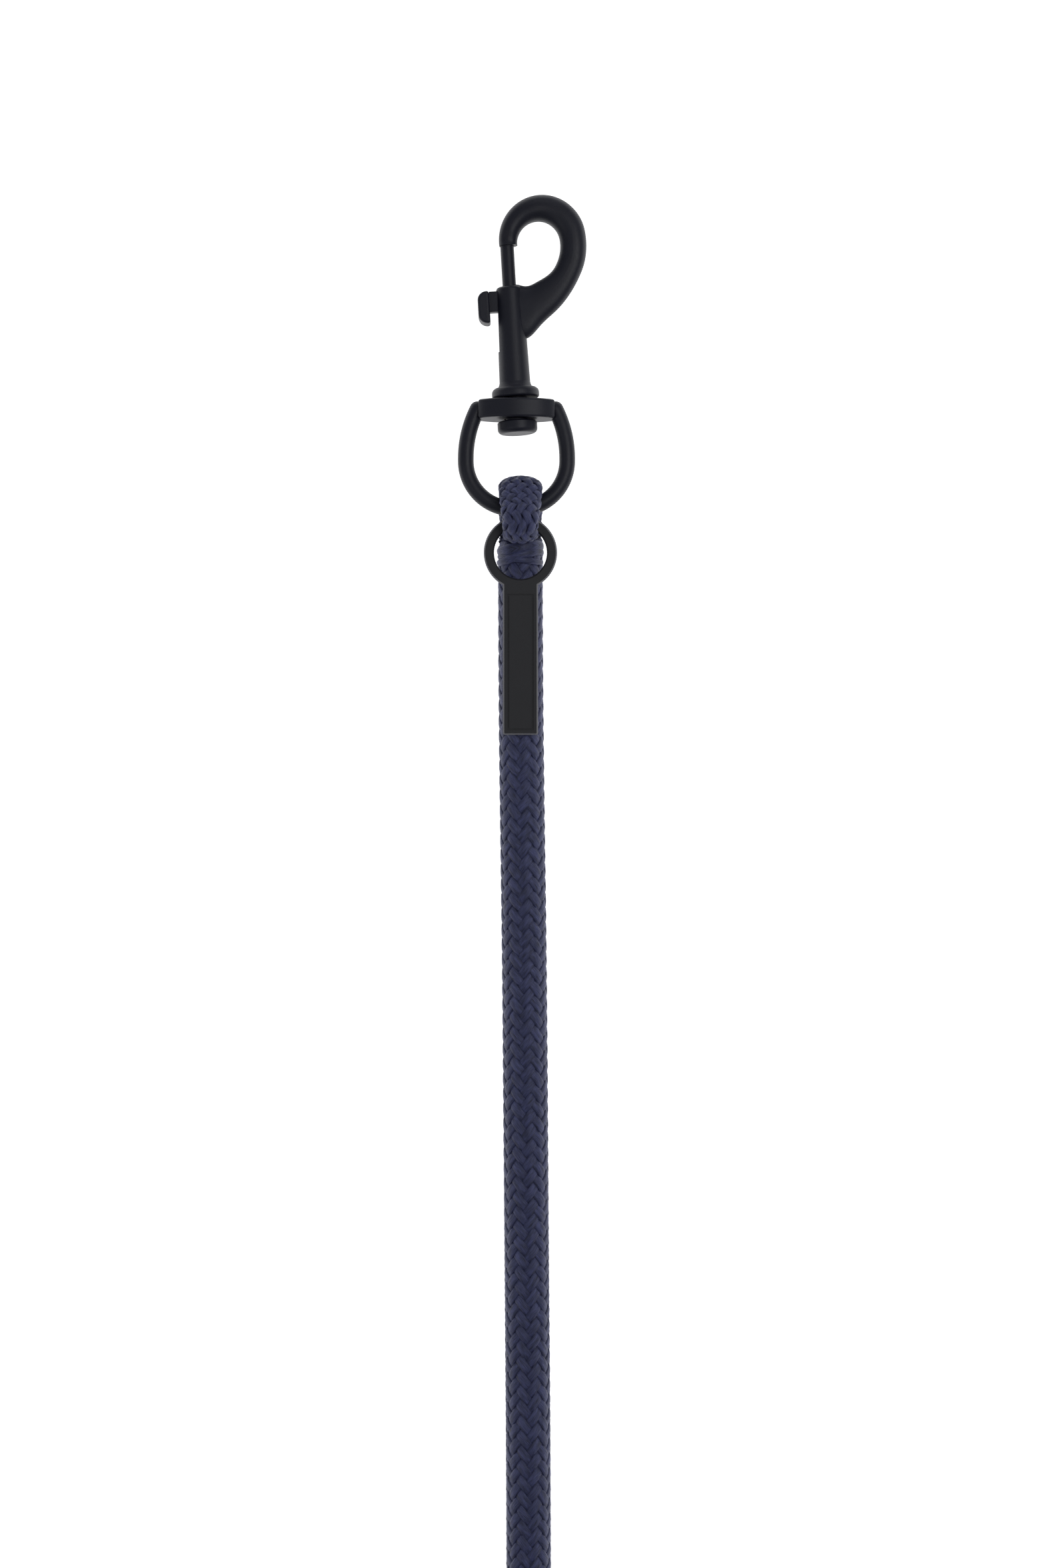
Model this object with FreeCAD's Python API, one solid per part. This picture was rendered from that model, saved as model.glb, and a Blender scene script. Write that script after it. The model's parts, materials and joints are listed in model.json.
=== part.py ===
"""Braided lead rope with an eye-spliced swivel bolt snap and a hanging tag.

The rope lies along Y with the snap at +Y, on a floor at Z = 0. The origin is under the middle of the snap.
The snap is drawn with the middle of its swivel eye's bar at the origin and its barrel along +Y, the shank
and hook are leaned in the eye's play, and the whole snap is then tipped until its crown meets the floor.
"""

import FreeCAD, Part
import math
import os

V = FreeCAD.Vector
X, Y, Z = V(1, 0, 0), V(0, 1, 0), V(0, 0, 1)
ORIGIN = V(0, 0, 0)

# ---- driving dimensions, mm and degrees ----
RUN_FIT = 0.05  # radial clearance of a sliding fit
FREE_GAP = 0.3  # between pieces that move past each other

rope_d = 16.0  # braided rope, lying free
eye_rope_t = 8.4  # the rope pressed flat around the bar, its thickness
eye_rope_w = 15.6  # and its width
wrap_gap = 0.6  # between the bar's wire and the rope around it

bar_r = 2.8  # wire of the swivel eye
bar_straight = 1.0  # half of the bar's straight middle, which the rope turns on
eye_bend_r = 17.9  # round lower half of the eye, to the middle of the wire
arm_bend_r = 39.0  # bend of the arms above it
arm_over = 0.35  # top of the arms above the plate's middle
arm_root = 4.0  # how far each arm's shoulder runs into the plate
plate_s = 35.0  # middle of the plate above the bar
plate_t = 6.7  # plate thickness along the barrel
plate_w = 26.8  # plate width across its cut ends
plate_round = (15.1, 8.7)  # half axes of the plate's oval before the ends are cut
plate_edge = 0.8
journal_step = 0.5  # the rivet's journal in the plate, thicker than its shank in the bore
journal_play = 0.4  # radial play that lets the snap lean
lean = 3.3  # degrees, the snap against the eye

flange_gap = 0.8  # between plate and flange, along the barrel
flange_t = 3.8
flange_out = 2.25  # its rim beyond the neck
flange_edge = 0.9  # rounding of its lower edge
flange_side = 1.0  # height of its upright rim, below the rounder upper edge
neck_t = 1.8  # small step between flange and barrel
neck_step = 0.65  # beyond the barrel's root
neck_hollow = 0.15  # how far the step's hollow stays off the barrel's root
barrel_l = 39.65  # from the flange's face to the barrel's mouth
root_wall = 1.95  # wall around the bore at the barrel's root
mouth_wall = 1.25  # the same at its mouth
shoulder = 1.1  # rounding of the barrel's mouth
mouth_t = 1.3  # depth of the guide around the rod at the mouth
bore_r = 3.5

rod_r = 2.4
rod_seat = 1.0  # how deep the rod's end sits in the hook's tip
rod_edge = 0.4
travel = 14.2  # stroke of the bolt
knob_neck_l = 7.3  # along the barrel
knob_neck_t = 3.6
knob_pad_l = 11.5
knob_stand = 2.6  # the pad's inner face off the barrel's mouth
knob_pad_t = 4.15
knob_pad_w = 8.6
knob_pad_round = 3.2  # the pad's ends, seen from above
knob_pad_edge = 0.9
stake_deep = 1.0  # how far the knob's stake reaches into the bolt
stake_inset = 1.0  # from the neck's ends, and half of it from its sides
slot_side_gap = 0.15

shank_l = 7.6  # rivet shank pressed into the barrel
button_out = 2.6  # the button's rim beyond the plate's hole
button_t = 4.4
button_gap = 0.7  # between plate and button
button_round = 1.7
rivet_edge = 0.5
spring_wire_r = 0.3
spring_side_gap = 0.35
spring_end_gap = 0.1

tip_up = 14.8  # end of the hook's tip above the barrel's mouth
tip_wall = (1.35, 0.35)  # around the rod, towards the hook's inside and outwards
tip_wall_deep = 1.1  # and square to the hook's plane
hook_depth_crown = 9.3
hook_depth_web = 7.0
hook_square = 2.2  # roundness of the hook's section: 2 is an oval, more is squarer
web_square = 3.0  # the same where the hook's back meets the barrel
hook_back = [  # inner and outer side of the hook's back: off the axis, above the barrel's mouth
    ((18.2, 10.1), (27.3, 8.1)),
    ((16.3, 6.0), (25.2, 2.8)),
    ((13.4, 3.2), (21.7, -3.0)),
    ((9.6, 1.2), (16.3, -9.1)),
    ((5.2, 0.1), (10.3, -14.2)),
    ((0.0, -1.2), (3.6, -18.6)),
]
crown_mid = (12.65, 16.1)  # middle of the crown's outer curve: off the axis, above the barrel's mouth
crown_half = (15.45, 16.2)
seat_mid = (11.2, 14.8)  # middle of its inner curve
seat_half = (7.6, 8.1)

tag_t = 2.0
tag_ring_r = 12.9
tag_hole_r = 9.3
tag_bar_w = 12.4
tag_len = 76.9  # over all
tag_drop = 15.8  # ring's middle below the bar
tag_chamfer = 0.5
tag_corner = 0.8
tag_groove = (1.6, 0.4, 0.6)  # inset, depth and width of the line pressed around the bar's face
tag_lift = 0.15  # tag's underside above the rope

hank_side = 48.0  # outer turn's bend radius
hank_top_y = -498.0  # middles of the hank's two round ends
hank_bottom_y = -642.0
tie_y = (-548.0, -592.0)  # right side's tie and left side's
tie_w = 11.0
tie_t = 1.2
cap_r = 8.7
cap_l = 25.0
cap_wall = 0.9
cap_y = -500.0  # free face of the end cap
cap_dome = 3.0
cap_edge = 0.5
cap_floor = 4.0  # solid end of the cap beyond the rope

rope_side = 1.4  # the rope sits a little to one side of the bar's middle
throat = 20.0  # from the bar to where both legs of the spliced eye meet
leg_over = 0.3  # how far the upper leg stands over the rope's top at the throat
hump_over_tag = 2.35  # the upper leg's hump over the tag's ring
hump_over_bar = 5.9  # and over the bar's wire, whichever is higher
hump_span = (3.4, 8.8)  # where the hump starts and ends, from the bar
hump_foot = 14.8  # where it has come down again
front_rise = 3.4  # the route's corner in front of the bar, above it
eye_radii = [4.6, 4.6, 5.4, 5.6]  # bends of the upper leg; the last one goes round the bar
lead_end_x = 2.4
floor_play = 0.1  # the hook's crown off the floor

# ---- sizes worked out from them ----
bar_z = eye_rope_t + wrap_gap + bar_r
journal_r = bore_r + journal_step
button_r = journal_r + journal_play + button_out
barrel_root_r = bore_r + root_wall
barrel_mouth_r = bore_r + mouth_wall
neck_r = barrel_root_r + neck_step
flange_r = neck_r + flange_out
knob_pad_in = barrel_mouth_r + knob_stand
knob_pad_out = knob_pad_in + knob_pad_t
hook_depth_tip = 2 * (rod_r + tip_wall_deep)
flange_s = plate_s + plate_t / 2 + flange_gap
neck_s = flange_s + flange_t
barrel_s = neck_s + neck_t
barrel_top_s = flange_s + barrel_l
tip_s = barrel_top_s + tip_up
bore_top_s = barrel_top_s - mouth_t
piston_top_s = bore_top_s - FREE_GAP / 3
piston_s = piston_top_s - knob_neck_l
button_s = plate_s - plate_t / 2 - button_gap
shank_top_s = flange_s + shank_l
lean_rad = math.radians(lean)


def leaned(u, s):
    """X and Y of a point off the leaned axis, measured from the bar."""
    up = s - plate_s
    x = u * math.cos(lean_rad) - up * math.sin(lean_rad)
    y = plate_s + u * math.sin(lean_rad) + up * math.cos(lean_rad)
    return x, y


crown_s = barrel_top_s + crown_mid[1] + crown_half[1]
seat_s = barrel_top_s + seat_mid[1] + seat_half[1]
crown_reach = leaned(crown_mid[0], (crown_s + seat_s) / 2)[1]
tip_down = math.asin((bar_z - hook_depth_crown / 2 - floor_play) / crown_reach)  # snap's slope to the floor
snap_top = leaned(crown_mid[0], crown_s)[1] * math.cos(tip_down)
snap_right = leaned(crown_mid[0] + crown_half[0], barrel_top_s + crown_mid[1])[0]
bar_x = (eye_bend_r + bar_r - snap_right) / 2
bar_y = (bar_r - snap_top) / 2
rope_r = rope_d / 2
hank_mid_x = lead_end_x - hank_side
stack_z = rope_r + rope_d * math.sin(math.radians(60))  # a turn resting in the groove of two others
tag_z = rope_d + tag_lift


# ---- placing ----
def lean_over(shape):
    """Leans a piece of the hook's body, drawn upright on the axis, about the middle of the plate."""
    shape = shape.copy()
    shape.rotate(V(0, plate_s, 0), Z, lean)
    return shape


def set_down(shape):
    """Tips a piece of the snap about the bar and puts the bar where the rope holds it."""
    shape = shape.copy()
    shape.rotate(ORIGIN, X, -math.degrees(tip_down))
    shape.translate(V(bar_x, bar_y, bar_z))
    return shape


# ---- small helpers ----
def turned(profile):
    """Solid of revolution about +Y from a closed list of (radius, height) points or 3-point arcs."""
    edges = []
    for item in profile:
        points = [V(r, s, 0) for r, s in item]
        edges.append(Part.LineSegment(*points).toShape() if len(points) == 2 else Part.Arc(*points).toShape())
    return Part.Face(Part.Wire(edges)).revolve(ORIGIN, Y, 360)


def rod_along_y(radius, low, high):
    return Part.makeCylinder(radius, high - low, V(0, low, 0), Y)


def arc_corner(corner, before, after, radius):
    """The arc that rounds one corner of a route, as its start, middle and end points."""
    to_before = (before - corner).normalize()
    to_after = (after - corner).normalize()
    half = to_before.getAngle(to_after) / 2
    leg = radius / math.tan(half)
    inward = (to_before + to_after).normalize()
    middle = corner + inward * (radius / math.sin(half) - radius)
    return corner + to_before * leg, middle, corner + to_after * leg


def route_wire(points, radii=None):
    """Straight runs joined by tangent arcs. With no radii, each arc is as large as its two runs allow."""
    edges, at, used = [], points[0], []
    for i in range(1, len(points) - 1):
        before, corner, after = points[i - 1 : i + 2]
        half_turn = (corner - before).getAngle(after - corner) / 2
        shorter = min((corner - before).Length, (after - corner).Length)
        radius = radii[i - 1] if radii else 0.45 * shorter / math.tan(half_turn)
        start, middle, end = arc_corner(corner, before, after, radius)
        edges.append(Part.LineSegment(at, start).toShape())
        edges.append(Part.Arc(start, middle, end).toShape())
        at = end
        used.append(radius)
    edges.append(Part.LineSegment(at, points[-1]).toShape())
    return Part.Wire(edges), used


def swept(wire, profile):
    """Solid swept from a closed profile wire along a route."""
    return wire.makePipeShell([profile], True, False)


# ---- swivel eye ----
def eye_path():
    """Middle of the eye's wire: a short straight bar, two quarter turns and two arms that lean in."""
    turn = eye_bend_r - bar_straight
    corner = turn * math.sqrt(0.5)
    top_s = plate_s + arm_over
    rise = top_s - eye_bend_r
    lean_in = arm_bend_r - math.sqrt(arm_bend_r**2 - rise**2)
    half_in = arm_bend_r - math.sqrt(arm_bend_r**2 - rise**2 / 4)
    halves = []
    for m in (1, -1):
        foot, bend = V(m * bar_straight, 0, 0), V(m * (bar_straight + corner), turn - corner, 0)
        side, low = V(m * eye_bend_r, turn, 0), V(m * eye_bend_r, eye_bend_r, 0)
        mid = V(m * (eye_bend_r - half_in), eye_bend_r + rise / 2, 0)
        top = V(m * (eye_bend_r - lean_in), top_s, 0)
        halves.append([Part.Arc(foot, bend, side), Part.LineSegment(side, low), Part.Arc(low, mid, top)])
    bar = Part.LineSegment(V(-bar_straight, 0, 0), V(bar_straight, 0, 0))
    edges = halves[1][::-1] + [bar] + halves[0]
    heading = V(-rise / arm_bend_r, -math.sqrt(1 - (rise / arm_bend_r) ** 2), 0)
    return Part.Wire([e.toShape() for e in edges]), V(lean_in - eye_bend_r, top_s, 0), heading


def swivel_eye():
    path, top, heading = eye_path()
    ring = swept(path, Part.Wire(Part.makeCircle(bar_r, top, heading)))
    oval = Part.Ellipse(ORIGIN, *plate_round)
    face = Part.Face(Part.Wire(oval.toShape()))
    face.rotate(ORIGIN, X, -90)
    plate = face.extrude(V(0, plate_t, 0))
    plate.translate(V(0, plate_s - plate_t / 2, 0))
    deep = 4 * plate_round[1]
    ends = Part.makeBox(plate_w, plate_t, deep, V(-plate_w / 2, plate_s - plate_t / 2, -deep / 2))
    plate = plate.common(ends)
    plate = plate.makeFillet(plate_edge, plate.Edges)
    shoulders = []
    for m in (-1, 1):
        at = V(-m * top.x, top.y, 0)
        shoulders += [Part.makeSphere(bar_r, at), Part.makeCylinder(bar_r, arm_root, at, V(-m, 0, 0))]
    hole = rod_along_y(journal_r + journal_play, plate_s - plate_t, plate_s + plate_t)
    return ring.fuse([plate] + shoulders).cut(hole).removeSplitter()


# ---- hook body ----
def hook_section(inner, outer, depth, squareness):
    """Smooth section between two points of the hook, in four edges so that sections line up."""
    middle = V((inner[0] + outer[0]) / 2, (inner[1] + outer[1]) / 2, 0)
    across = V(outer[0], outer[1], 0) - middle
    points = []
    for k in range(16):
        a = 2 * math.pi * k / 16
        c, s = math.cos(a), math.sin(a)
        wide = math.copysign(abs(c) ** (2 / squareness), c)
        tall = math.copysign(abs(s) ** (2 / squareness), s)
        points.append(middle + across * wide + Z * (tall * depth / 2))
    curve = Part.BSplineCurve()
    curve.interpolate(Points=points, PeriodicFlag=True)
    cuts = [curve.parameter(p) for p in points[::4]] + [curve.LastParameter]
    return Part.Wire([curve.toShape(a, b) for a, b in zip(cuts, cuts[1:])])


def above_mouth(point):
    return point[0], barrel_top_s + point[1]


def hook_curve():
    """The hook from its tip over the crown and down the back, into the barrel."""
    tip = (rod_r + tip_wall[0], tip_s), (-rod_r - tip_wall[1], tip_s)
    sections = [hook_section(*tip, hook_depth_tip, hook_square)]
    for angle in range(160, -1, -20):
        a = math.radians(angle)
        swell = min(1.0, (180 - angle) / 80)
        depth = hook_depth_tip + (hook_depth_crown - hook_depth_tip) * swell
        inner = (seat_mid[0] + seat_half[0] * math.cos(a), seat_mid[1] + seat_half[1] * math.sin(a))
        outer = (crown_mid[0] + crown_half[0] * math.cos(a), crown_mid[1] + crown_half[1] * math.sin(a))
        sections.append(hook_section(above_mouth(inner), above_mouth(outer), depth, hook_square))
    for i, (inner, outer) in enumerate(hook_back):
        share = (i + 1) / len(hook_back)
        depth = hook_depth_crown + (hook_depth_web - hook_depth_crown) * share
        squareness = hook_square + (web_square - hook_square) * share
        sections.append(hook_section(above_mouth(inner), above_mouth(outer), depth, squareness))
    return Part.makeLoft(sections, True, False)


def barrel():
    """Flange, neck and barrel as one turned solid."""
    r, low, root = flange_r, flange_edge, barrel_root_r
    high = flange_t - flange_edge - flange_side
    rim = flange_s + flange_edge
    c = 1 - math.sqrt(0.5)
    k = shoulder * c
    return turned(
        [
            [(0, flange_s), (r - low, flange_s)],
            [(r - low, flange_s), (r - low * c, flange_s + low * c), (r, rim)],
            [(r, rim), (r, rim + flange_side)],
            [(r, rim + flange_side), (r - high * c, neck_s - high * c), (r - high, neck_s)],
            [(r - high, neck_s), (neck_r, neck_s)],
            [(neck_r, neck_s), (root + neck_hollow, neck_s + 0.65 * neck_t), (root, barrel_s)],
            [(root, barrel_s), (barrel_mouth_r, barrel_top_s - shoulder)],
            [
                (barrel_mouth_r, barrel_top_s - shoulder),
                (barrel_mouth_r - k, barrel_top_s - k),
                (barrel_mouth_r - shoulder, barrel_top_s),
            ],
            [(barrel_mouth_r - shoulder, barrel_top_s), (0, barrel_top_s)],
            [(0, barrel_top_s), (0, flange_s)],
        ]
    )


def hook_body():
    body = barrel().fuse(hook_curve())
    body = body.cut(rod_along_y(bore_r, flange_s - 1, bore_top_s))
    body = body.cut(rod_along_y(rod_r + RUN_FIT, bore_top_s - 1, barrel_top_s + 1))
    seat = rod_along_y(rod_r + 2 * RUN_FIT, tip_s - 1, tip_s + rod_seat + 2 * RUN_FIT)
    slot_w = knob_neck_t + 2 * slot_side_gap
    slot_low = piston_s - travel - slot_side_gap
    slot_l = piston_top_s + slot_side_gap - slot_low
    out = 2 * barrel_root_r
    slot = Part.makeBox(out, slot_l, slot_w, V(-out, slot_low, -slot_w / 2))
    return body.cut([seat, slot]).removeSplitter()


# ---- what moves and sits in the barrel ----
def knob_stake():
    """The tenon that joins the knob to the bolt, from inside the neck into the bolt."""
    wide = knob_neck_t - stake_inset
    at = V(-bore_r - stake_deep, piston_s + stake_inset, -wide / 2)
    return Part.makeBox(2 * stake_deep, knob_neck_l - 2 * stake_inset, wide, at)


def bolt_rod():
    piston = rod_along_y(bore_r - RUN_FIT, piston_s, piston_top_s)
    rod = rod_along_y(rod_r, piston_s, tip_s + rod_seat)
    rod = rod.makeChamfer(rod_edge, [e for e in rod.Edges if abs(e.CenterOfMass.y - tip_s - rod_seat) < 0.01])
    return piston.fuse(rod).cut(knob_stake()).removeSplitter()


def thumb_knob():
    """Thumb pad with its neck and the stake that is pressed into the bolt."""
    reach = knob_pad_in - bore_r + RUN_FIT
    neck = Part.makeBox(reach, knob_neck_l, knob_neck_t, V(-knob_pad_in, piston_s, -knob_neck_t / 2))
    neck = neck.cut(rod_along_y(bore_r, piston_s - 1, piston_top_s + 1))
    low = piston_top_s - knob_pad_l
    thick = knob_pad_out - knob_pad_in
    pad = Part.makeBox(thick, knob_pad_l, knob_pad_w, V(-knob_pad_out, low, -knob_pad_w / 2))
    outward = [e for e in pad.Edges if e.CenterOfMass.x < -knob_pad_in - thick / 4]
    pad = pad.makeFillet(knob_pad_round, [e for e in outward if abs(e.tangentAt(0).z) > 0.9])
    faces = [e for e in pad.Edges if e.CenterOfMass.x > -knob_pad_in - 0.01]
    sides = [e for e in pad.Edges if abs(e.CenterOfMass.z) > 0.3 * knob_pad_w and e not in faces]
    pad = pad.makeFillet(knob_pad_edge, faces + sides)
    return pad.fuse([neck, knob_stake()]).removeSplitter()


def bolt_spring():
    """The coil spring's envelope: a sleeve as long and as wide as the coil, as thick as its wire."""
    low = shank_top_s + spring_end_gap
    high = piston_s - spring_end_gap
    outer = bore_r - spring_side_gap
    return rod_along_y(outer, low, high).cut(rod_along_y(outer - 2 * spring_wire_r, low, high))


def swivel_rivet():
    """Button, journal and the shank that closes the barrel and seats the spring."""
    low = button_s - button_t
    r, e = button_r, button_round
    k = e * (1 - math.sqrt(0.5))
    return turned(
        [
            [(0, low), (r - e, low)],
            [(r - e, low), (r - k, low + k), (r, low + e)],
            [(r, low + e), (r, button_s - rivet_edge)],
            [(r, button_s - rivet_edge), (r - rivet_edge, button_s)],
            [(r - rivet_edge, button_s), (journal_r, button_s)],
            [(journal_r, button_s), (journal_r, flange_s)],
            [(journal_r, flange_s), (bore_r, flange_s)],
            [(bore_r, flange_s), (bore_r, shank_top_s - rivet_edge)],
            [(bore_r, shank_top_s - rivet_edge), (bore_r - rivet_edge, shank_top_s)],
            [(bore_r - rivet_edge, shank_top_s), (0, shank_top_s)],
            [(0, shank_top_s), (0, low)],
        ]
    )


# ---- tag ----
def tag_bar(inset, top, high, low=0):
    """Block over the tag's bar, inset from its edges, from one distance above its end to its top."""
    end = tag_ring_r - tag_len + inset
    return Part.makeBox(tag_bar_w - 2 * inset, top - end, high, V(inset - tag_bar_w / 2, end, low))


def tag():
    ring = Part.makeCylinder(tag_ring_r, tag_t)
    bar = tag_bar(0, -tag_hole_r, tag_t)
    corners = [e for e in bar.Edges if abs(e.tangentAt(0).z) > 0.9 and e.CenterOfMass.y < -2 * tag_ring_r]
    body = ring.fuse(bar.makeFillet(tag_corner, corners))
    body = body.cut(Part.makeCylinder(tag_hole_r, tag_t)).removeSplitter()
    body = body.makeChamfer(tag_chamfer, [e for e in body.Edges if e.BoundBox.ZMin > tag_t - 0.01])
    inset, depth, width = tag_groove
    outer = tag_bar(inset, -tag_ring_r - inset, depth, tag_t - depth)
    inner = tag_bar(inset + width, -tag_ring_r - inset - width, depth, tag_t - depth)
    body = body.cut(outer.cut(inner))
    body.translate(V(rope_x, bar_y - tag_drop, tag_z))
    return body


# ---- rope ----
rope_x = bar_x + rope_side
throat_y = bar_y - throat
LEAD_ROUTE = [
    V(rope_x, throat_y, rope_r),
    V(-0.3, -136.0, rope_r),
    V(0.9, -215.0, rope_r),
    V(1.5, -300.0, rope_r),
    V(2.2, -380.0, rope_r),
    V(lead_end_x, -440.0, rope_r),
    V(lead_end_x, hank_top_y, rope_r),
]


def eye_route():
    """Both legs of the spliced eye: over the tag's ring, round the bar and back along the floor."""
    leg = eye_rope_t / 2
    wrap = bar_r + wrap_gap + leg  # middle of the rope around the bar
    level = rope_d - leg + leg_over
    hump = max(tag_z + tag_t + hump_over_tag, bar_z + bar_r + hump_over_bar) + leg
    near, far = hump_span
    return [
        V(rope_x, throat_y, level),
        V(rope_x, bar_y - hump_foot, level),
        V(rope_x, bar_y - far, hump),
        V(rope_x, bar_y - near, hump),
        V(rope_x, bar_y + wrap, bar_z + front_rise),
        V(rope_x, bar_y + wrap, leg),
        V(rope_x, throat_y, leg),
    ]


def rope_eye():
    points = eye_route()
    wire, _ = route_wire(points, eye_radii + [bar_r + wrap_gap + eye_rope_t / 2 - 0.2])
    oval = Part.Ellipse(ORIGIN, eye_rope_w / 2, eye_rope_t / 2)
    profile = Part.Wire(oval.toShape())
    profile.rotate(ORIGIN, X, 90)
    profile.translate(points[0])
    return swept(wire, profile)


def rope_lead():
    wire, radii = route_wire(LEAD_ROUTE)
    print("lead radii mm:", [round(r) for r in radii])
    tube = swept(wire, Part.Wire(Part.makeCircle(rope_r, LEAD_ROUTE[0], LEAD_ROUTE[1] - LEAD_ROUTE[0])))
    section = math.pi * rope_r**2
    print("lead volume against section times length:", round(tube.Volume / (section * wire.Length), 4))
    return tube


def bundle_outline(radius, at):
    """Outline round two turns side by side and one lying in their groove, in the XZ plane."""
    middles = [V(rope_r, 0, rope_r), V(0, 0, stack_z), V(-rope_r, 0, rope_r)]
    edges, last, first = [], None, None
    for i, middle in enumerate(middles):
        start = math.radians(-90 + 120 * i)
        a, b, c = [
            at + middle + V(math.cos(start + turn), 0, math.sin(start + turn)) * radius
            for turn in (0, math.pi / 3, 2 * math.pi / 3)
        ]
        if last:
            edges.append(Part.LineSegment(last, a).toShape())
        edges.append(Part.Arc(a, b, c).toShape())
        first, last = first or a, c
    edges.append(Part.LineSegment(last, first).toShape())
    return Part.Wire(edges)


def hank_ties():
    """Two flat bands, one round each side of the hank."""
    bands = []
    for side, y in zip((1, -1), tie_y):
        at = V(hank_mid_x + side * (hank_side - rope_r), y - tie_w / 2, 0)
        outer = Part.Face(bundle_outline(rope_r, at)).extrude(V(0, tie_w, 0))
        inner = Part.Face(bundle_outline(rope_r - tie_t, at)).extrude(V(0, tie_w, 0))
        bands.append(outer.cut(inner))
    return Part.makeCompound(bands)


def end_cap():
    x = hank_mid_x - hank_side + rope_r
    low = cap_y - cap_l
    centre = V(x, low, stack_z + cap_r - rope_r)
    cap = Part.makeCylinder(cap_r, cap_l, centre, Y)
    far = [e for e in cap.Edges if abs(e.CenterOfMass.y - cap_y) < 0.01]
    cap = cap.makeFillet(cap_dome, far)
    near = [e for e in cap.Edges if abs(e.CenterOfMass.y - low) < 0.01]
    cap = cap.makeFillet(cap_edge, near)
    return cap.cut(Part.makeCylinder(cap_r - cap_wall, cap_l - cap_floor, centre, Y))


def rope_hank(lead, ties, cap):
    """Outer shape of the two turns on the floor and the one in their groove."""
    r = hank_side - rope_r
    right, left = hank_mid_x + r, hank_mid_x - r
    ends = [
        Part.Arc(V(left, y, 0), V(hank_mid_x, y + bulge, 0), V(right, y, 0))
        for y, bulge in ((hank_top_y, r), (hank_bottom_y, -r))
    ]
    path = Part.Wire(
        [
            Part.LineSegment(V(right, hank_top_y, 0), V(right, hank_bottom_y, 0)).toShape(),
            ends[1].toShape(),
            Part.LineSegment(V(left, hank_bottom_y, 0), V(left, hank_top_y, 0)).toShape(),
            ends[0].toShape(),
        ]
    )
    at = V(right, hank_top_y, 0)
    ring = path.makePipeShell([bundle_outline(rope_r, at)], True, False)
    cap_at = V(left, cap_y - cap_l, stack_z + cap_r - rope_r)
    envelope = Part.makeCylinder(cap_r, cap_l, cap_at, Y)
    core = Part.makeCylinder(cap_r - cap_wall, cap_l - cap_floor, cap_at, Y)
    return ring.cut([lead, envelope] + ties.Solids).fuse(core.cut(cap)).removeSplitter()


def build():
    lead, ties, cap = rope_lead(), hank_ties(), end_cap()
    return {
        "swivel_eye": set_down(swivel_eye()),
        "hook_body": set_down(lean_over(hook_body())),
        "bolt_rod": set_down(lean_over(bolt_rod())),
        "thumb_knob": set_down(lean_over(thumb_knob())),
        "bolt_spring": set_down(lean_over(bolt_spring())),
        "swivel_rivet": set_down(lean_over(swivel_rivet())),
        "tag": tag(),
        "rope_eye": rope_eye(),
        "rope_lead": lead,
        "rope_hank": rope_hank(lead, ties, cap),
        "hank_ties": ties,
        "end_cap": cap,
    }


os.makedirs("parts", exist_ok=True)
for node, shape in build().items():
    box = shape.BoundBox
    size = [round(v, 1) for v in (box.XLength, box.YLength, box.ZLength)]
    print(node, shape.isValid(), len(shape.Solids), round(shape.Volume), size)
    shape.exportStep(f"parts/{node}.step")
print("bar", bar_x, bar_y, bar_z, "slope", math.degrees(tip_down))
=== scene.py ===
import json
import math

import bpy
import numpy as np
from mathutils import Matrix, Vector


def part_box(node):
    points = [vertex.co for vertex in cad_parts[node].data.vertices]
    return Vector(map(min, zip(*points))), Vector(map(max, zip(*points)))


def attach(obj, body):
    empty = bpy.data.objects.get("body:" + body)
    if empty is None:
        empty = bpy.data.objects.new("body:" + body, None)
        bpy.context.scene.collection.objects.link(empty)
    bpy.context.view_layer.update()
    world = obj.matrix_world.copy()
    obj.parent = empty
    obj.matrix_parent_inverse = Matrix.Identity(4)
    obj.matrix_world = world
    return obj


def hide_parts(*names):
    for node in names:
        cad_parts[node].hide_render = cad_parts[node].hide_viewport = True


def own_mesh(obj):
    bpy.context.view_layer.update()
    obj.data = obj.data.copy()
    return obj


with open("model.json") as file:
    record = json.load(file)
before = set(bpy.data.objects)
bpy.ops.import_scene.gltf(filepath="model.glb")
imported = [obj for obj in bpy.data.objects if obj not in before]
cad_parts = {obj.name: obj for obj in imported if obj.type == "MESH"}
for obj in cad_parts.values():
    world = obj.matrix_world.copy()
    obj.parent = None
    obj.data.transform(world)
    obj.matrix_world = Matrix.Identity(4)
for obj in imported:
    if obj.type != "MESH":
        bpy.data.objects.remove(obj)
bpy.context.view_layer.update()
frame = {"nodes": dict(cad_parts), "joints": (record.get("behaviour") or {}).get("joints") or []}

mm = 0.001
joints = {j["name"]: j for j in frame["joints"]}
bar = np.array(joints["eye_pivot"]["pos_m"]) / mm  # middle of the swivel eye's bar, in mm
snapAxis = -np.array(joints["bolt_slide"]["axis"])  # along the barrel, towards the hook


# view and light
viewSet = {
    "centre": (0.17, -151.4),  # mm, the point under the camera
    "height": 1650.0,  # camera above the rope's middle
    "field": 553.4,  # mm of rope seen from top to bottom of the frame
    "level": 10.0,  # height of the plane that the field is measured on
}
lightSet = {
    "world": (0.93, 0.95, 1.0),
    "worldStrength": 0.17,
    "panels": [  # position mm, size mm, watts, aims at mm
        ((560, 100, 1250), (420, 900), 4.6, (0, -100, 0)),
        ((-900, -300, 1100), (500, 1100), 1.6, (0, -100, 0)),
        ((100, 1300, 900), (900, 500), 1.5, (0, 0, 0)),
    ],
    "floor": (0.9, 0.9, 0.9),
    "floorGlow": 1.0,
}


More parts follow.
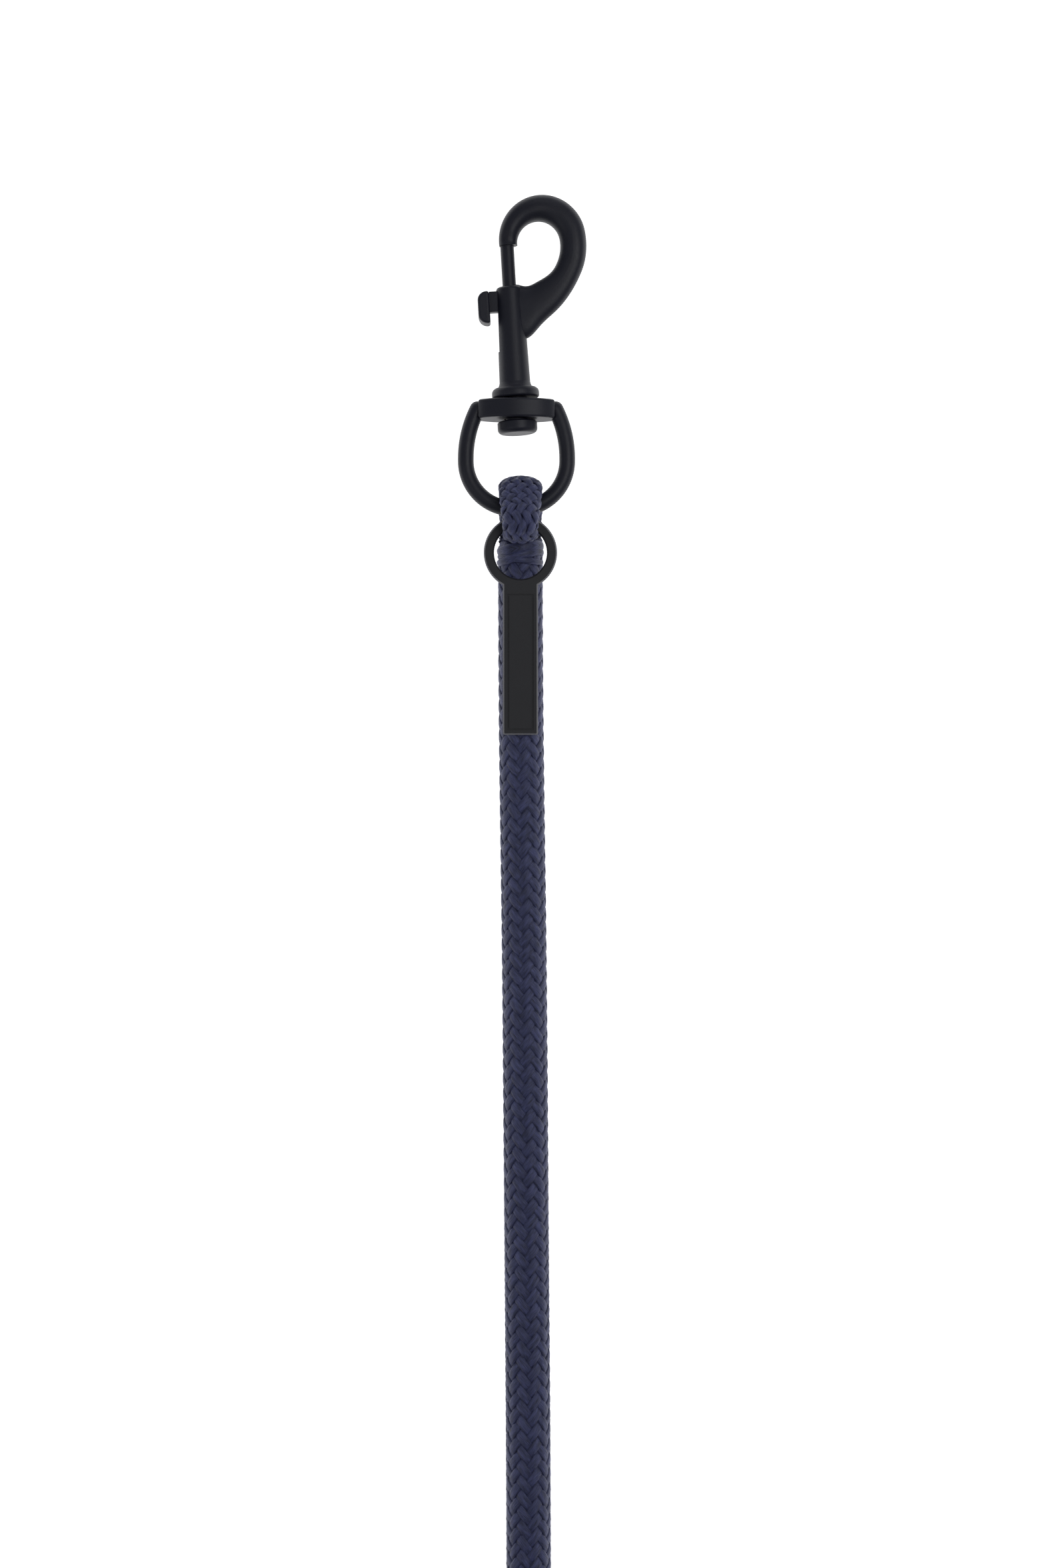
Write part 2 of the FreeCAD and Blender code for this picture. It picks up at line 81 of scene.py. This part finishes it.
def setCamera():
    data = bpy.data.cameras.new("camera")
    data.sensor_fit = "VERTICAL"
    data.lens = data.sensor_height * viewSet["height"] / viewSet["field"]
    data.clip_end = 20
    camera = bpy.data.objects.new("camera", data)
    x, y = viewSet["centre"]
    camera.location = (x * mm, y * mm, (viewSet["height"] + viewSet["level"]) * mm)
    bpy.context.scene.collection.objects.link(camera)
    bpy.context.scene.camera = camera


def setLights():
    world = bpy.data.worlds.new("studio")
    bpy.context.scene.world = world
    world.use_nodes = True
    background = world.node_tree.nodes["Background"]
    background.inputs["Color"].default_value = (*lightSet["world"], 1)
    background.inputs["Strength"].default_value = lightSet["worldStrength"]
    for i, (place, size, watts, aim) in enumerate(lightSet["panels"]):
        data = bpy.data.lights.new(f"panel{i}", "AREA")
        data.shape = "RECTANGLE"
        data.size, data.size_y = size[0] * mm, size[1] * mm
        data.energy = watts
        lamp = bpy.data.objects.new(f"panel{i}", data)
        lamp.location = [c * mm for c in place]
        direction = Vector([a - p for a, p in zip(aim, place)])
        lamp.rotation_euler = direction.to_track_quat("-Z", "Y").to_euler()
        bpy.context.scene.collection.objects.link(lamp)
    bpy.context.scene.view_settings.view_transform = "Standard"


# materials
class Value:  # one socket of a material, with arithmetic
    def __init__(self, made, socket):
        self.made, self.socket = made, socket

    def calc(self, operation, first, second=0.0):
        return self.made.add("ShaderNodeMath", {"operation": operation}, {0: first, 1: second})

    def __add__(self, other):
        return self.calc("ADD", self, other)

    __radd__ = __add__

    def __mul__(self, other):
        return self.calc("MULTIPLY", self, other)

    __rmul__ = __mul__

    def __sub__(self, other):
        return self.calc("SUBTRACT", self, other)

    def __rsub__(self, other):
        return self.calc("SUBTRACT", other, self)

    def __truediv__(self, other):
        return self.calc("DIVIDE", self, other)

    def __rtruediv__(self, other):
        return self.calc("DIVIDE", other, self)

    def __pow__(self, other):
        return self.calc("POWER", self, other)

    def __abs__(self):
        return self.calc("ABSOLUTE", self)

    def __mod__(self, other):
        return self.calc("FLOORED_MODULO", self, other)

    def __lt__(self, other):
        return self.calc("LESS_THAN", self, other)

    def __gt__(self, other):
        return self.calc("GREATER_THAN", self, other)

    def sine(self):
        return self.calc("SINE", self)


class Finish:  # a material and the nodes that it is made of
    def __init__(self, name):
        self.material = bpy.data.materials.new(name)
        self.material.use_nodes = True
        self.tree = self.material.node_tree
        self.shader = self.tree.nodes["Principled BSDF"]

    def add(self, kind, settings=None, inputs=None, output=0):
        node = self.tree.nodes.new(kind)
        for key, value in (settings or {}).items():
            setattr(node, key, value)
        self.fill(node, inputs or {})
        return Value(self, node.outputs[output])

    def fill(self, node, inputs):
        for key, value in inputs.items():
            socket = node.inputs[key]
            if isinstance(value, Value):
                self.tree.links.new(value.socket, socket)
            elif hasattr(value, "__len__") and len(value) == 3 and socket.type == "RGBA":
                socket.default_value = (*value, 1)
            else:
                socket.default_value = value

    def mix(self, share, low, high):
        settings = {"data_type": "RGBA"}
        return self.add("ShaderNodeMix", settings, {0: share, 6: low, 7: high}, 2)

    def noise(self, vector, scale, detail=2.0):
        return self.add("ShaderNodeTexNoise", {}, {"Vector": vector, "Scale": scale, "Detail": detail})

    def place(self):
        return self.add("ShaderNodeTexCoord", {}, {}, 3)

    def joined(self, x, y, z=0.0):
        return self.add("ShaderNodeCombineXYZ", {}, {0: x, 1: y, 2: z})

    def parts(self, vector):
        node = self.add("ShaderNodeSeparateXYZ", {}, {0: vector}).socket.node
        return [Value(self, s) for s in node.outputs]

    def bump(self, height, distance, strength=1.0):
        return self.add("ShaderNodeBump", {}, {"Height": height, "Distance": distance, "Strength": strength})

    def finish(self, **sockets):
        self.fill(self.shader, {name.replace("_", " "): value for name, value in sockets.items()})
        return self.material


coatLook = {
    "dark": (0.0088, 0.0096, 0.0175),
    "light": (0.0140, 0.0152, 0.0265),
    "peel": 1900,  # fine roughness of the coat
    "cloud": 130,  # slow change of its tone
    "rough": 0.40,
    "shine": 0.34,
}


def powderCoat():
    made = Finish("powderCoat")
    at = made.place()
    peel = made.noise(at, coatLook["peel"], 3.0)
    cloud = made.noise(at, coatLook["cloud"], 2.0)
    return made.finish(
        Base_Color=made.mix(cloud, coatLook["dark"], coatLook["light"]),
        Roughness=coatLook["rough"] + 0.12 * peel,
        Normal=made.bump(peel, 0.00004, 0.35),
        Specular_IOR_Level=coatLook["shine"],
    )


steelLook = {"dark": (0.32, 0.33, 0.34), "light": (0.5, 0.5, 0.5), "grain": 3000}


def springSteel():
    made = Finish("springSteel")
    grain = made.noise(made.place(), steelLook["grain"])
    return made.finish(
        Base_Color=made.mix(grain, steelLook["dark"], steelLook["light"]),
        Metallic=1.0,
        Roughness=0.25 + 0.15 * grain,
    )


tagLook = {
    "dark": (0.0115, 0.012, 0.0155),
    "light": (0.0165, 0.017, 0.021),
    "edge": (0.17, 0.17, 0.185),  # painted highlight: a pale band on the side faces, for the tag's lit chamfer
    "outside": 11.0,  # mm from the ring's middle, beyond which the edges are cut ones
    "level": 0.85,  # a face is a cut edge where its normal's height is below this
    "grain": 2600,
    "cloud": 160,
}


def tagRubber():
    made = Finish("tagRubber")
    at = made.place()
    grain = made.noise(at, tagLook["grain"], 4.0)
    cloud = made.noise(at, tagLook["cloud"], 2.0)
    x, y, _ = made.parts(at)
    low, high = [np.array(c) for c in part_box("tag")]
    middle = ((low[0] + high[0]) / 2, high[1] - (high[0] - low[0]) / 2)
    fromRing = (x - middle[0]) ** 2.0 + (y - middle[1]) ** 2.0
    outside = fromRing > (tagLook["outside"] * mm) ** 2
    _, _, up = made.parts(made.add("ShaderNodeTexCoord", {}, {}, 1))
    # painted highlight mask: the side faces away from the ring
    edge = (up < tagLook["level"]) * outside
    top = made.mix(cloud, tagLook["dark"], tagLook["light"])
    return made.finish(
        # the side faces get the painted highlight colour over the rubber's own tone
        Base_Color=made.mix(edge, top, tagLook["edge"]),
        Roughness=0.52 + 0.15 * grain,
        Normal=made.bump(grain, 0.00005, 0.5),
    )


capLook = {"dark": (0.011, 0.011, 0.013), "light": (0.018, 0.018, 0.021), "grain": 2200}


def capPlastic():
    made = Finish("capPlastic")
    grain = made.noise(made.place(), capLook["grain"], 3.0)
    return made.finish(
        Base_Color=made.mix(grain, capLook["dark"], capLook["light"]),
        Roughness=0.42 + 0.15 * grain,
        Normal=made.bump(grain, 0.00004, 0.4),
    )


bandLook = {
    "rib": 1.05,  # mm from rib to rib
    "weft": 0.7,  # mm from weft to weft
    "dark": (0.008, 0.008, 0.010),
    "light": (0.028, 0.028, 0.032),
}


def bandWeave():
    made = Finish("bandWeave")
    x, y, z = made.parts(made.place())
    rib = (y * (2 * math.pi / (bandLook["rib"] * mm))).sine()
    weft = ((x + z) * (2 * math.pi / (bandLook["weft"] * mm))).sine()
    # the weave's height also sets its colour: painted shade, darker in its hollows
    height = 0.5 + 0.3 * rib + 0.2 * weft * rib
    return made.finish(
        Base_Color=made.mix(height, bandLook["dark"], bandLook["light"]),
        Roughness=0.75,
        Normal=made.bump(height, 0.00015, 0.8),
    )


yarnLook = {
    "deep": (0.0045, 0.0065, 0.022),
    "lit": (0.078, 0.090, 0.225),
    "filaments": 7.0,  # per mm across a strand
    "tile": 60.0,  # mm of strand before the pattern turns back on itself
    "columns": 8,  # strands side by side in the pattern
    "columnWidth": 8.0,  # mm
    "crest": 0.375,  # where a strand's top lies across its column
    "edgeShade": 0.75,  # how much painted shade darkens a strand at its edges
    "offset": 17.0,  # mm of pattern from one strand to the next
}


def braidYarn():
    made = Finish("braidYarn")
    u, v, _ = made.parts(made.add("ShaderNodeUVMap", {"uv_map": "OFBake"}))
    across = u * (yarnLook["columns"] * yarnLook["columnWidth"])
    along = v * yarnLook["tile"]
    twisted = across + 0.12 * along
    # painted shade: each strand darker towards its edges, for the crevices between strands
    edge = abs(yarnLook["crest"] - u * yarnLook["columns"] % 1.0)
    dark = 1 - yarnLook["edgeShade"] * (edge / yarnLook["crest"]) ** 2.0
    fibre = made.noise(made.joined(twisted * yarnLook["filaments"], along * 0.35), 1.0, 3.0)
    tuft = made.noise(made.joined(across * 0.8, along * 0.22, 3.0), 1.0, 2.0)
    # fibre and tuft vary the yarn's tone; the painted shade darkens it at the strands' edges
    share = (fibre * 1.1 + tuft * 0.8 - 0.6) * 1.6 * dark
    return made.finish(
        Base_Color=made.mix(share, yarnLook["deep"], yarnLook["lit"]),
        Roughness=0.62 - 0.2 * fibre,
        Normal=made.bump(fibre, 0.00018, 0.75),
        Sheen_Weight=0.07,
        Sheen_Roughness=0.4,
        Sheen_Tint=(0.38, 0.42, 0.78),
        Specular_IOR_Level=0.45,
    )


# meshes
def tubeFaces(rings, m, start):
    # the sides and both ends of a tube whose rings have m points each
    ring = np.arange(rings - 1)[:, None] * m + start
    k = np.arange(m)[None, :]
    quads = np.stack([ring + k, ring + (k + 1) % m, ring + m + (k + 1) % m, ring + m + k], axis=2)
    ends = [start + np.arange(m)[::-1], start + (rings - 1) * m + np.arange(m)]
    return quads.reshape(-1, 4), ends


def tubeCorners(u, v):
    # where each corner of a tube's sides lies in the yarn's pattern
    uLow, vLow = np.meshgrid(u[:-1], v[:-1])
    uHigh, vHigh = np.meshgrid(u[1:], v[1:])
    corners = np.stack([uLow, vLow, uHigh, vLow, uHigh, vHigh, uLow, vHigh], axis=2).reshape(-1, 2)
    return np.stack([corners[:, 0], np.abs(corners[:, 1] % 2.0 - 1.0)], axis=1)


def makeMesh(name, points, quads, caps=(), uv=None):
    mesh = bpy.data.meshes.new(name)
    sizes = np.concatenate([np.full(len(quads), 4), np.array([len(c) for c in caps], int)]).astype(np.int32)
    corners = np.concatenate([np.asarray(quads).ravel()] + [np.asarray(c) for c in caps]).astype(np.int32)
    mesh.vertices.add(len(points))
    mesh.vertices.foreach_set("co", (np.asarray(points) * mm).astype(np.float32).ravel())
    mesh.loops.add(len(corners))
    mesh.loops.foreach_set("vertex_index", corners)
    mesh.polygons.add(len(sizes))
    mesh.polygons.foreach_set("loop_start", np.concatenate([[0], np.cumsum(sizes)[:-1]]).astype(np.int32))
    if uv is not None:
        layer = mesh.uv_layers.new(name="OFBake")
        # spare corners, at the tubes' ends, take u 0.5, where the yarn's painted edge shade is fullest
        spare = len(corners) - len(uv)
        filled = np.concatenate([uv, np.full((spare, 2), 0.5)])
        layer.data.foreach_set("uv", filled.astype(np.float32).ravel())
    mesh.update(calc_edges=True)
    mesh.validate()
    mesh.shade_smooth()
    piece = bpy.data.objects.new(name, mesh)
    bpy.context.scene.collection.objects.link(piece)
    return piece


def unit(vectors):
    return vectors / np.maximum(np.linalg.norm(vectors, axis=-1, keepdims=True), 1e-12)


def lengthsAlong(points):
    return np.concatenate([[0], np.cumsum(np.linalg.norm(np.diff(points, axis=0), axis=1))])


def resampled(points, step):
    reach = lengthsAlong(points)
    at = np.linspace(0, reach[-1], int(round(reach[-1] / step)) + 1)
    return np.stack([np.interp(at, reach, points[:, k]) for k in range(3)], axis=1), at


def splineLine(points, fineness=24):
    curve = bpy.data.curves.new("route", "CURVE")
    curve.dimensions = "3D"
    spline = curve.splines.new("NURBS")
    spline.points.add(len(points) - 1)
    for point, place in zip(spline.points, points):
        point.co = (*[c * mm for c in place], 1)
    spline.order_u = 3
    spline.use_endpoint_u = True
    spline.resolution_u = fineness
    holder = bpy.data.objects.new("route", curve)
    mesh = bpy.data.meshes.new_from_object(holder)
    line = np.array([v.co for v in mesh.vertices]) / mm
    bpy.data.objects.remove(holder)
    bpy.data.curves.remove(curve)
    bpy.data.meshes.remove(mesh)
    return line


def framesAlong(line, side):
    tangents = unit(np.gradient(line, axis=0))
    sides = [unit(np.array(side) - np.dot(side, tangents[0]) * tangents[0])]
    for i in range(1, len(line)):  # carried along without twist, by two reflections
        step = line[i] - line[i - 1]
        c = np.dot(step, step)
        carried = sides[-1] - (2 / c) * np.dot(step, sides[-1]) * step
        turned = tangents[i - 1] - (2 / c) * np.dot(step, tangents[i - 1]) * step
        away = tangents[i] - turned
        d = np.dot(away, away)
        sides.append(carried - (2 / d) * np.dot(away, carried) * away if d > 1e-14 else carried)
    sides = unit(np.array(sides))
    return tangents, sides, unit(np.cross(tangents, sides))


# rope, in mm
ropeSet = {
    "diameter": 16.0,
    "length": 2.0,  # m
    "side": 1.4,  # the rope's eye beside the middle of the bar
    "step": 1.3,  # between rings of the braid
    "eyeStep": 0.7,  # the same on the eye, as a share
    "eyeWidth": 15.8,
    "mouthWidth": 12.4,  # the upper leg where it is drawn together at the mouth
    "eyeThick": 8.4,
    "diveThick": 5.0,  # the eye's upper leg where it is drawn down through the tag's ring
    "throat": (-13.0, -16.5),  # from the bar: where the lead's braid starts and the eye's ends
    "fullHeight": (17.5, 22.0),  # the upper leg is at its thinnest below, and full above
    "fullReach": (-9.0, -6.0),  # the same along Y from the bar
    "drawnReach": (-12.0, 8.0),  # along Y from the bar: drawn in at the first, full at the second
    "legParting": 9,  # height between the lower and the upper leg
    "hankSide": 48.0,
    "hankTop": -498.0,
    "hankBottom": -642.0,
    "tieY": (-548.0, -592.0),
    "tiePinch": 1.2,
    "tieReach": (6, 15),  # from a tie's middle: fully pinched within, free beyond
    "capY": -505.0,
}
leadBraid = {
    "strands": 12,  # each way
    "over": 2,  # strands passed over at a time
    "turns": 63.2,  # mm of rope to one turn of a strand
    "width": 3.5,
    "thick": 0.95,
    "lift": 0.45,  # how far a strand rises where it passes over
    "profile": [  # a strand's section, in half widths and half thicknesses
        (-1, -0.3), (-0.92, 0.5), (-0.5, 0.92), (0, 1),
        (0.5, 0.92), (0.92, 0.5), (1, -0.3), (0, -0.8),
    ],
    "columns": [(0, 4), (40, 17), (180, 17), (280, 4), (700, 10)],  # mm along the rope, degrees turned
    "seed": 5,
}
eyeBraid = {
    "strands": 8,
    "over": 1,
    "turns": 39.0,
    "width": 3.9,
    "thick": 1.35,
    "lift": 0.55,
    "profile": [
        (-1, -0.2), (-0.86, 0.45), (-0.45, 0.88), (0, 1),
        (0.45, 0.88), (0.86, 0.45), (1, -0.2), (0, -0.8),
    ],
    "columns": [(0, 6), (60, 6)],
    "seed": 11,
}
leadRoute = [
    (-0.3, -136.0, 8.0),
    (0.9, -215.0, 8.0),
    (1.5, -300.0, 8.0),
    (2.2, -380.0, 8.0),
    (2.4, -440.0, 8.0),
]


def eyeRoute():
    x = bar[0] + ropeSet["side"]
    steps = [  # along Y from the bar, and height
        (-9.8, 6.5),
        (-9.7, 12.5),
        (-9.6, 20.0),
        (-7.6, 25.6),
        (-3.0, 25.3),
        (2.2, 20.3),
        (7.7, 15.0),
        (7.7, 8.6),
        (3.2, 4.2),
        (-5.0, 4.3),
        (-11.0, 6.0),
        (-17.0, 8.0),
        (-33.0, 8.0),
    ]
    return [(x, bar[1] + y, z) for y, z in steps]


def hankRoute():
    points = []
    r = ropeSet["diameter"] / 2
    midX = leadRoute[-1][0] - ropeSet["hankSide"]
    top, bottom = ropeSet["hankTop"], ropeSet["hankBottom"]
    outer = ropeSet["hankSide"]
    turns = [(outer, r), (outer - 2 * r, r), (outer - r, r + 2 * r * math.sin(math.radians(60)))]
    fold = 6
    for k, (radius, level) in enumerate(turns):
        last = k == len(turns) - 1
        points += [(midX + radius, top - 4, level), (midX + radius, (top + bottom) / 2, level)]
        points.append((midX + radius, bottom, level))
        for i in range(fold):
            a = -(i + 0.5) * math.pi / fold
            wide = radius / math.cos(math.pi / fold / 2)
            points.append((midX + wide * math.cos(a), bottom + wide * math.sin(a), level))
        points += [(midX - radius, bottom, level), (midX - radius, (top + bottom) / 2, level)]
        if last:
            points.append((midX - radius, ropeSet["capY"] - 20, level + 0.6))
            points.append((midX - radius, ropeSet["capY"], level + 0.7))
            break
        points.append((midX - radius, top, level))
        nextRadius, nextLevel = turns[k + 1]
        for i in range(fold):
            share = (i + 0.5) / fold
            a = math.pi * (1 - share)
            eased = share * share * (3 - 2 * share)
            wide = (radius + (nextRadius - radius) * eased) / math.cos(math.pi / fold / 2)
            points.append(
                (midX + wide * math.cos(a), top + wide * math.sin(a), level + (nextLevel - level) * eased)
            )
    return points


def smooth(low, high, values):
    share = np.clip((values - low) / (high - low), 0, 1)
    return share * share * (3 - 2 * share)


def eyeSection(line):
    # half width and half thickness of the pressed rope around the bar
    fromBar = line[:, 1] - bar[1]
    up = smooth(*ropeSet["fullHeight"], line[:, 2]) + smooth(*ropeSet["fullReach"], fromBar)
    dive = ropeSet["diveThick"] / 2
    thick = dive + (ropeSet["eyeThick"] / 2 - dive) * np.clip(up, 0, 1)
    drawn = np.where(line[:, 2] > ropeSet["legParting"], 1 - smooth(*ropeSet["drawnReach"], fromBar), 0)
    drawn = drawn * (ropeSet["eyeWidth"] - ropeSet["mouthWidth"]) / 2
    return ropeSet["eyeWidth"] / 2 - drawn, np.minimum(thick, line[:, 2] - 0.05)


def leadSection(line):
    half = ropeSet["diameter"] / 2
    wide = np.full(len(line), half)
    midX = leadRoute[-1][0] - ropeSet["hankSide"]
    for y, side in zip(ropeSet["tieY"], (1, -1)):
        under = (line[:, 0] - midX) * side > 10
        near = 1 - smooth(*ropeSet["tieReach"], np.abs(line[:, 1] - y))
        wide = wide - np.where(under, ropeSet["tiePinch"] * near, 0)
    return wide, np.minimum(wide, line[:, 2] - 0.02)


def ovalTable(a, b):
    # the angle on each ring's oval that lies at each share of its rim
    t = np.linspace(0, 2 * np.pi, 181)
    speed = np.sqrt((a[:, None] * np.sin(t)) ** 2 + (b[:, None] * np.cos(t)) ** 2)
    passed = np.cumsum((speed[:, 1:] + speed[:, :-1]) / 2, axis=1)
    rim = np.concatenate([np.zeros((len(a), 1)), passed], axis=1)
    return t, rim / rim[:, -1:]


def braidStrands(line, wide, thick, braid):
    _, sides, ups = framesAlong(line, (1, 0, 0))
    at = lengthsAlong(line)
    lift, strandHalf, n = braid["lift"], braid["thick"] / 2, braid["strands"]
    a, b = wide - lift - strandHalf, thick - lift - strandHalf
    t, rim = ovalTable(a, b)
    turned = at / braid["turns"]
    columns = np.interp(at, *zip(*braid["columns"])) / 360
    chance = np.random.default_rng(braid["seed"])
    profile = np.array(braid["profile"])
    rings, m = len(line), len(profile)
    points, quads, caps, uvs = [], [], [], []
    for way in (1, -1):
        for j in range(n):
            wander = 0.0012 * np.sin(2 * np.pi * (at / chance.uniform(17, 31) + chance.random()))
            fuller = 1 + chance.uniform(-0.05, 0.05)
            share = (j / n + way * turned + columns + wander) % 1.0
            angle = np.array([np.interp(share[i], rim[i], t) for i in range(rings)])
            late = np.pi / 4 if braid["over"] == 2 else 0
            phase = n / braid["over"] * 2 * np.pi * (share - columns) - late
            rise = way * lift * np.tanh(1.5 * np.cos(phase)) / math.tanh(1.5)
            c, s = np.cos(angle), np.sin(angle)
            out = unit((c / a)[:, None] * sides + (s / b)[:, None] * ups)
            middle = line + (a * c)[:, None] * sides + (b * s)[:, None] * ups + rise[:, None] * out
            going = unit(np.gradient(middle, axis=0))
            across = unit(np.cross(going, out))
            out = np.cross(across, going)
            crowd = np.clip((a + b) / (2 * a.max()), 0.8, 1) if braid["over"] == 1 else np.ones(rings)
            halfWide = braid["width"] / 2 * crowd * fuller
            body = (
                middle[:, None, :]
                + across[:, None, :] * (profile[:, 0][None, :, None] * halfWide[:, None, None])
                + out[:, None, :] * (profile[:, 1][None, :, None] * strandHalf)
            )
            faces, ends = tubeFaces(rings, m, len(points) * rings * m)
            points.append(body.reshape(-1, 3))
            quads.append(faces)
            caps += ends
            column = (j % 4 + (4 if way < 0 else 0)) / yarnLook["columns"]
            # u runs across the strand's section, so the painted edge shade falls on its sides
            u = column + np.arange(m + 1) / m / yarnLook["columns"] * 0.98 + 0.001
            uvs.append(tubeCorners(u, (lengthsAlong(middle) + yarnLook["offset"] * j) / yarnLook["tile"]))
    return np.concatenate(points), np.concatenate(quads), caps, np.concatenate(uvs), (sides, ups)


def coreTube(line, wide, thick, sides, ups, start, around=20):
    # plain oval tube
    angle = np.arange(around) * 2 * np.pi / around
    body = (
        line[:, None, :]
        + sides[:, None, :] * (np.cos(angle)[None, :, None] * wide[:, None, None])
        + ups[:, None, :] * (np.sin(angle)[None, :, None] * thick[:, None, None])
    )
    quads, ends = tubeFaces(len(line), around, start)
    return body.reshape(-1, 3), quads, ends


def strandTube(line, wide, high, around=12):
    # one free strand with an oval section, lying with its width along its side vectors
    _, sides, ups = framesAlong(line, (0, 1, 0))
    return coreTube(line, wide, high, sides, ups, 0, around)


def joinedBraids(parts):
    points, quads, caps, uvs, start = [], [], [], [], 0
    for line, section, braid in parts:
        wide, thick = section(line)
        strandPoints, strandQuads, strandCaps, uv, (sides, ups) = braidStrands(line, wide, thick, braid)
        inner = braid["lift"] + braid["thick"]
        coreStart = len(strandPoints)
        corePoints, coreQuads, coreCaps = coreTube(line, wide - inner, thick - inner, sides, ups, coreStart)
        points += [strandPoints, corePoints]
        quads += [strandQuads + start, coreQuads + start]
        caps += [c + start for c in strandCaps + coreCaps]
        # the core takes u 0.5, where the yarn's painted edge shade is fullest
        uvs += [uv, np.full((len(coreQuads) * 4, 2), 0.5)]
        start += len(strandPoints) + len(corePoints)
    return makeMesh("rope_braid", np.concatenate(points), np.concatenate(quads), caps, np.concatenate(uvs))


def makeRope(yarn):
    control = eyeRoute() + leadRoute + hankRoute()
    line, at = resampled(splineLine(control), ropeSet["step"])
    fromBar = line[:, 1] - bar[1]
    back = at > 30
    leadStart = np.flatnonzero(back & (fromBar < ropeSet["throat"][0]))[0]
    eyeEnd = np.flatnonzero(back & (fromBar < ropeSet["throat"][1]))[0]
    fine, _ = resampled(line[:eyeEnd], ropeSet["step"] * ropeSet["eyeStep"])
    rope = joinedBraids([(fine, eyeSection, eyeBraid), (line[leadStart:], leadSection, leadBraid)])
    rope.data.materials.append(yarn)
    print("rope", round(float(at[-1]), 1), "mm")
    return rope, line


# strands wound round the throat of the splice
wrapSet = {
    "centre": 8.75,  # height
    "half": (7.6, 7.95),  # half width and half height, to the middle of a strand
    "strands": [  # from the bar to its middle on top, mm it moves to the right, width, thickness
        (-13.9, 1.5, 4.3, 1.3),
        (-16.7, 2.6, 3.3, 1.35),
        (-18.0, -1.4, 2.4, 1.0),
    ],
}


def makeWrap(yarn):
    x, z = bar[0] + ropeSet["side"], wrapSet["centre"]
    points, quads, caps, uvs, start = [], [], [], [], 0
    for j, (y, slope, width, thick) in enumerate(wrapSet["strands"]):
        angle = np.radians(np.linspace(-20, 340, 121))
        wide, high = wrapSet["half"]
        along = bar[1] + y + slope * np.cos(angle) * np.abs(np.sin(angle / 2 + 0.3)) ** 0.5
        line = np.stack([x + wide * np.cos(angle), along, z + high * np.sin(angle)], axis=1)
        taper = 0.72 + 0.28 * np.sin(angle) ** 2
        tube, faces, ends = strandTube(line, width / 2 * taper, np.full(len(line), thick / 2))
        points.append(tube)
        quads.append(faces + start)
        caps += [c + start for c in ends]
        around = len(tube) // len(line)
        turn = np.arange(around + 1) / around * 2 * math.pi
        # u stays near the crest, so the painted edge shade darkens the wrap's strands by at most a third
        u = (j + yarnLook["crest"] + 0.25 * np.sin(turn)) / yarnLook["columns"]
        uvs.append(tubeCorners(u, lengthsAlong(line) / yarnLook["tile"]))
        start += len(tube)
    wrap = makeMesh("splice_wrap", np.concatenate(points), np.concatenate(quads), caps, np.concatenate(uvs))
    wrap.data.materials.append(yarn)
    return wrap


# spring in the barrel
springSet = {"coils": 9, "wire": 0.3, "around": 10, "steps": 28, "keep": 0.37}


def makeSpring(steel):
    low, high = [np.array(c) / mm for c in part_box("bolt_spring")]
    middle = (low + high) / 2
    corners = np.array([v.co for v in frame["nodes"]["bolt_spring"].data.vertices]) / mm - middle
    heights = corners @ snapAxis
    radius = np.linalg.norm(corners - np.outer(heights, snapAxis), axis=1).max() - springSet["wire"]
    side = unit(np.cross(snapAxis, (0, 0, 1)))
    up = np.cross(side, snapAxis)
    turns = np.linspace(0, springSet["coils"], springSet["coils"] * springSet["steps"] + 1)
    close = np.clip(np.minimum(turns, springSet["coils"] - turns), 0, 1)  # end coils are closed up
    spread = np.cumsum(0.35 + 0.65 * close)
    spread = (spread - spread[0]) / (spread[-1] - spread[0])
    w = springSet["wire"]
    height = heights.min() + w + spread * (heights.max() - heights.min() - 2 * w)
    angle = 2 * np.pi * turns
    line = middle + np.outer(np.cos(angle), side) * radius + np.outer(np.sin(angle), up) * radius
    line = line + np.outer(height, snapAxis)
    _, sides, ups = framesAlong(line, unit(side))
    full = np.full(len(line), w)
    points, quads, caps = coreTube(line, full, full, sides, ups, 0)
    spring = makeMesh("barrel_spring", points, quads, caps)
    spring.data.materials.append(steel)
    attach(spring, "snap_body")
    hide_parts("bolt_spring")
    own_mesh(spring)
    return spring


# the whole
def dress(nodes, material):
    for node in nodes:
        piece = frame["nodes"][node]
        if not piece.material_slots:
            piece.data.materials.append(material)
        for place in piece.material_slots:
            place.material = material


def makeFloor():
    made = Finish("paleFloor")
    glow = lightSet["floorGlow"]
    floor = made.finish(
        Base_Color=lightSet["floor"], Roughness=0.9, Emission_Color=(1.0, 1.0, 1.0), Emission_Strength=glow
    )
    size = 6000.0
    corners = [(-size, -size, -0.1), (size, -size, -0.1), (size, size, -0.1), (-size, size, -0.1)]
    plane = makeMesh("floor", corners, [(0, 1, 2, 3)])
    plane.data.materials.append(floor)


setCamera()
setLights()
makeFloor()
print("view and light ready")
coat = powderCoat()
dress(["hook_body", "swivel_eye", "swivel_rivet", "bolt_rod", "thumb_knob"], coat)
dress(["tag"], tagRubber())
dress(["end_cap"], capPlastic())
dress(["hank_ties"], bandWeave())
print("materials ready")
yarn = braidYarn()
rope, ropeLine = makeRope(yarn)
wrap = makeWrap(yarn)
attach(wrap, "rope")
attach(rope, "rope")
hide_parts("rope_eye", "rope_lead", "rope_hank")
makeSpring(springSteel())
print("rope and spring ready")
